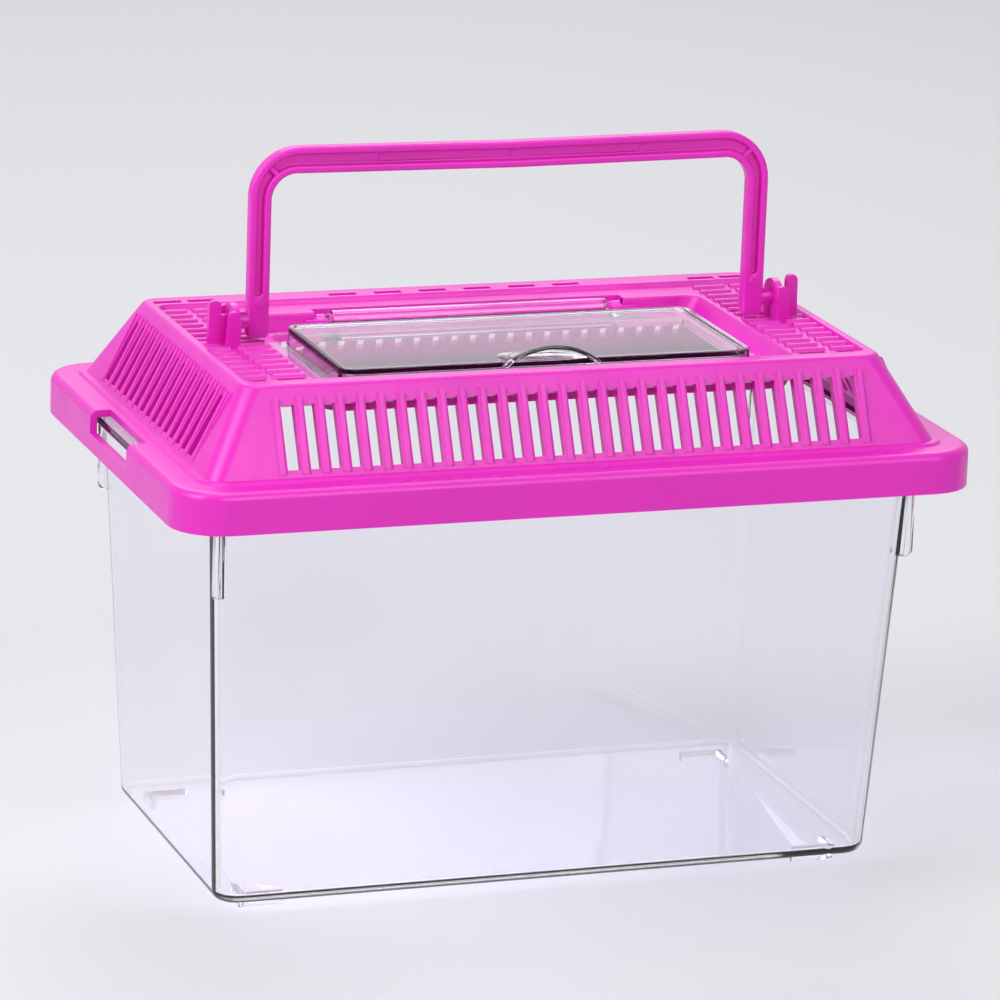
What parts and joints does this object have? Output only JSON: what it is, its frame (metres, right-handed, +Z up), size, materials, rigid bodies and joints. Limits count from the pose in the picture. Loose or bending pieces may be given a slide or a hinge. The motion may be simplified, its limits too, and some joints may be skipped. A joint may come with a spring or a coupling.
{
  "type": "plastic pet keeper",
  "caption": "Clear plastic pet keeper with a vented lift-off lid, a hinged feeding door in its roof and a fold-down carrying handle.",
  "frame": {"origin": "middle of the footprint on the table, at the underside of the feet", "axes": "+X along the long side, -Y towards the front, +Z up"},
  "size_m": [0.18, 0.115, 0.1588],
  "materials": {
    "clear_polystyrene": "clear moulded polystyrene",
    "pink_polypropylene": "satin moulded polypropylene"
  },
  "bodies": {
    "tank": {"tank": "clear_polystyrene"},
    "lid": {"lid": "pink_polypropylene"},
    "feeding_door": {"feeding_door": "clear_polystyrene"},
    "handle": {"handle": "pink_polypropylene"}
  },
  "joints": [
    {"name": "lid_lift", "type": "slide", "parent": "tank", "child": "lid", "axis": [0, 0, 1], "range_m": [0, 0.12]},
    {"name": "door_hinge", "type": "hinge", "parent": "lid", "child": "feeding_door", "pos_m": [0, 0.0253, 0.114], "axis": [-1, 0, 0], "range_deg": [0, 48]},
    {"name": "handle_hinge", "type": "hinge", "parent": "lid", "child": "handle", "pos_m": [0, 0, 0.121], "axis": [1, 0, 0], "range_deg": [-92, 92]}
  ]
}
